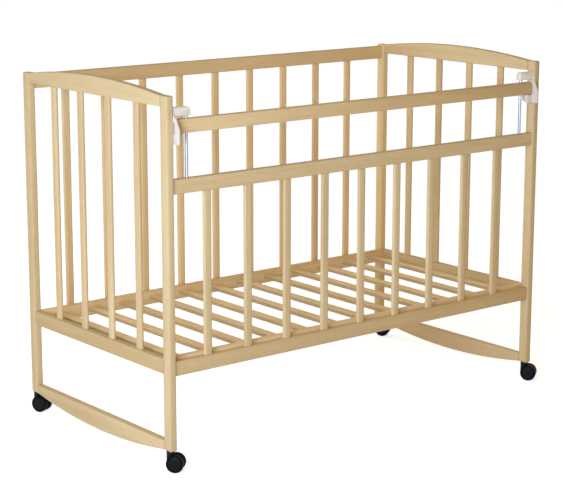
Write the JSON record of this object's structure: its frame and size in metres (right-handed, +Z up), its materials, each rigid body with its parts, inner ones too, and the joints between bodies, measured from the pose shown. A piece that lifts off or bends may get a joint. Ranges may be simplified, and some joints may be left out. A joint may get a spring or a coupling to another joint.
{
  "type": "crib",
  "caption": "Wooden slatted crib with arched ends, rocker rails, a drop bar that slides down guide rods once its catches are swung forward, and twin-wheel swivel casters.",
  "frame": {"origin": "on the floor, under the middle of the whole crib with its casters", "axes": "+X along the crib, +Y from the drop side to the fixed side, +Z up"},
  "size_m": [1.2898, 0.6724, 0.9325],
  "materials": {
    "wood": "satin clear lacquer",
    "cream_plastic": "satin",
    "bright_steel": "bright",
    "black_hood": "semi-gloss",
    "black_wheel": "satin"
  },
  "bodies": {
    "crib_frame": {"post_front_left": "wood", "post_front_right": "wood", "post_rear_left": "wood", "post_rear_right": "wood", "arch_rail_left": "wood", "end_lower_rail_left": "wood", "rocker_rail_left": "wood", "end_slat_left_1": "wood", "end_slat_left_2": "wood", "end_slat_left_3": "wood", "end_slat_left_4": "wood", "arch_rail_right": "wood", "end_lower_rail_right": "wood", "rocker_rail_right": "wood", "end_slat_right_1": "wood", "end_slat_right_2": "wood", "end_slat_right_3": "wood", "end_slat_right_4": "wood", "rear_top_rail": "wood", "rear_lower_rail": "wood", "rear_slat_1": "wood", "rear_slat_2": "wood", "rear_slat_3": "wood", "rear_slat_4": "wood", "rear_slat_5": "wood", "rear_slat_6": "wood", "rear_slat_7": "wood", "rear_slat_8": "wood", "rear_slat_9": "wood", "front_mid_rail": "wood", "front_lower_rail": "wood", "front_slat_1": "wood", "front_slat_2": "wood", "front_slat_3": "wood", "front_slat_4": "wood", "front_slat_5": "wood", "front_slat_6": "wood", "front_slat_7": "wood", "front_slat_8": "wood", "front_slat_9": "wood", "bed_base": "wood", "guide_rod_left": "bright_steel", "guide_rod_right": "bright_steel", "latch_bracket_left": "cream_plastic", "latch_bracket_right": "cream_plastic"},
    "drop_bar": {"drop_bar": "wood"},
    "catch_left": {"latch_catch_left": "cream_plastic"},
    "catch_right": {"latch_catch_right": "cream_plastic"},
    "caster_front_left": {"caster_hood_front_left": "black_hood"},
    "wheel_front_left_1": {"caster_wheel_front_left_1": "black_wheel"},
    "wheel_front_left_2": {"caster_wheel_front_left_2": "black_wheel"},
    "caster_front_right": {"caster_hood_front_right": "black_hood"},
    "wheel_front_right_1": {"caster_wheel_front_right_1": "black_wheel"},
    "wheel_front_right_2": {"caster_wheel_front_right_2": "black_wheel"},
    "caster_rear_left": {"caster_hood_rear_left": "black_hood"},
    "wheel_rear_left_1": {"caster_wheel_rear_left_1": "black_wheel"},
    "wheel_rear_left_2": {"caster_wheel_rear_left_2": "black_wheel"},
    "caster_rear_right": {"caster_hood_rear_right": "black_hood"},
    "wheel_rear_right_1": {"caster_wheel_rear_right_1": "black_wheel"},
    "wheel_rear_right_2": {"caster_wheel_rear_right_2": "black_wheel"}
  },
  "joints": [
    {"name": "drop_bar_slide", "type": "slide", "parent": "crib_frame", "child": "drop_bar", "axis": [0, 0, 1], "range_m": [-0.1067, 0.0062], "deforming": ["latch_catch_left", "latch_catch_right"]},
    {"name": "catch_left_swing", "type": "hinge", "parent": "crib_frame", "child": "catch_left", "pos_m": [-0.61177, -0.31207, 0.858], "axis": [-1, 0, 0], "range_deg": [0, 38], "stiffness_Nm_per_rad": 0.02, "springref_deg": -17.19},
    {"name": "catch_right_swing", "type": "hinge", "parent": "crib_frame", "child": "catch_right", "pos_m": [0.59723, -0.31207, 0.858], "axis": [-1, 0, 0], "range_deg": [0, 38], "stiffness_Nm_per_rad": 0.02, "springref_deg": -17.19},
    {"name": "caster_front_left_swivel", "type": "hinge", "parent": "crib_frame", "child": "caster_front_left", "pos_m": [-0.62602, -0.29882, 0.045], "axis": [0, 0, 1], "continuous": true},
    {"name": "wheel_front_left_1_spin", "type": "hinge", "parent": "caster_front_left", "child": "wheel_front_left_1", "pos_m": [-0.6094, -0.30128, 0.022], "axis": [0.7581, 0.6521, 0], "continuous": true},
    {"name": "wheel_front_left_2_spin", "type": "hinge", "parent": "caster_front_left", "child": "wheel_front_left_2", "pos_m": [-0.62608, -0.31562, 0.022], "axis": [0.7581, 0.6521, 0], "continuous": true},
    {"name": "caster_front_right_swivel", "type": "hinge", "parent": "crib_frame", "child": "caster_front_right", "pos_m": [0.61148, -0.29882, 0.045], "axis": [0, 0, 1], "continuous": true},
    {"name": "wheel_front_right_1_spin", "type": "hinge", "parent": "caster_front_right", "child": "wheel_front_right_1", "pos_m": [0.62783, -0.30269, 0.022], "axis": [0.8111, 0.585, 0], "continuous": true},
    {"name": "wheel_front_right_2_spin", "type": "hinge", "parent": "caster_front_right", "child": "wheel_front_right_2", "pos_m": [0.60999, -0.31556, 0.022], "axis": [0.8111, 0.585, 0], "continuous": true},
    {"name": "caster_rear_left_swivel", "type": "hinge", "parent": "crib_frame", "child": "caster_rear_left", "pos_m": [-0.62602, 0.31968, 0.045], "axis": [0, 0, 1], "continuous": true},
    {"name": "wheel_rear_left_1_spin", "type": "hinge", "parent": "caster_rear_left", "child": "wheel_rear_left_1", "pos_m": [-0.61096, 0.31223, 0.022], "axis": [0.9219, 0.3875, 0], "continuous": true},
    {"name": "wheel_rear_left_2_spin", "type": "hinge", "parent": "caster_rear_left", "child": "wheel_rear_left_2", "pos_m": [-0.63124, 0.30371, 0.022], "axis": [0.9219, 0.3875, 0], "continuous": true},
    {"name": "caster_rear_right_swivel", "type": "hinge", "parent": "crib_frame", "child": "caster_rear_right", "pos_m": [0.61148, 0.31968, 0.045], "axis": [0, 0, 1], "continuous": true},
    {"name": "wheel_rear_right_1_spin", "type": "hinge", "parent": "caster_rear_right", "child": "wheel_rear_right_1", "pos_m": [0.6277, 0.3153, 0.022], "axis": [0.829, 0.5592, 0], "continuous": true},
    {"name": "wheel_rear_right_2_spin", "type": "hinge", "parent": "caster_rear_right", "child": "wheel_rear_right_2", "pos_m": [0.60946, 0.303, 0.022], "axis": [0.829, 0.5592, 0], "continuous": true}
  ]
}
